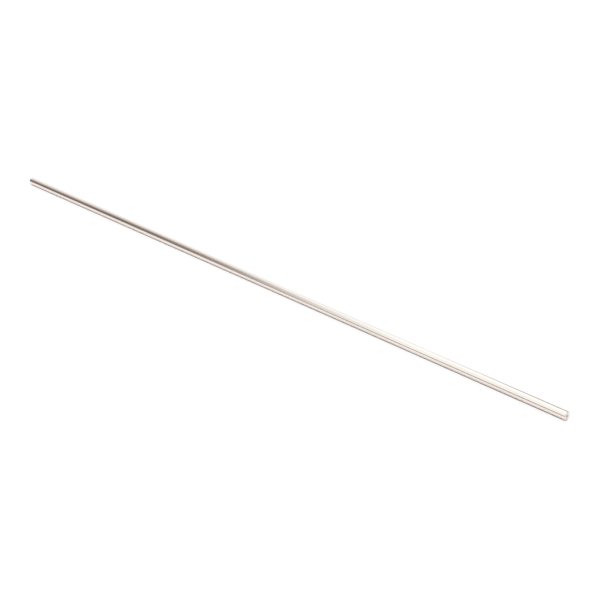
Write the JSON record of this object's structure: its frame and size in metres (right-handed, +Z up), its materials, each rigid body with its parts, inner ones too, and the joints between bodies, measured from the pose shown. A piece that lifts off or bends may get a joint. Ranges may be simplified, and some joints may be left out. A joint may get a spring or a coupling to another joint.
{
  "type": "pin gauge",
  "caption": "Plain cylindrical pin gauge: a slim ground and lapped steel pin, square at both ends, for checking the size of a small hole.",
  "frame": {"origin": "on the pin's axis, at mid-length", "axes": "+X along the gauging axis, +Z up as the pin lies on a level surface"},
  "size_m": [0.0508, 0.0006, 0.0006],
  "materials": {
    "ground_steel": "ground and lapped bright, with very fine marks round the cylinder and square lapped ends"
  },
  "bodies": {
    "root": {"gauge_pin": "ground_steel"}
  },
  "joints": []
}
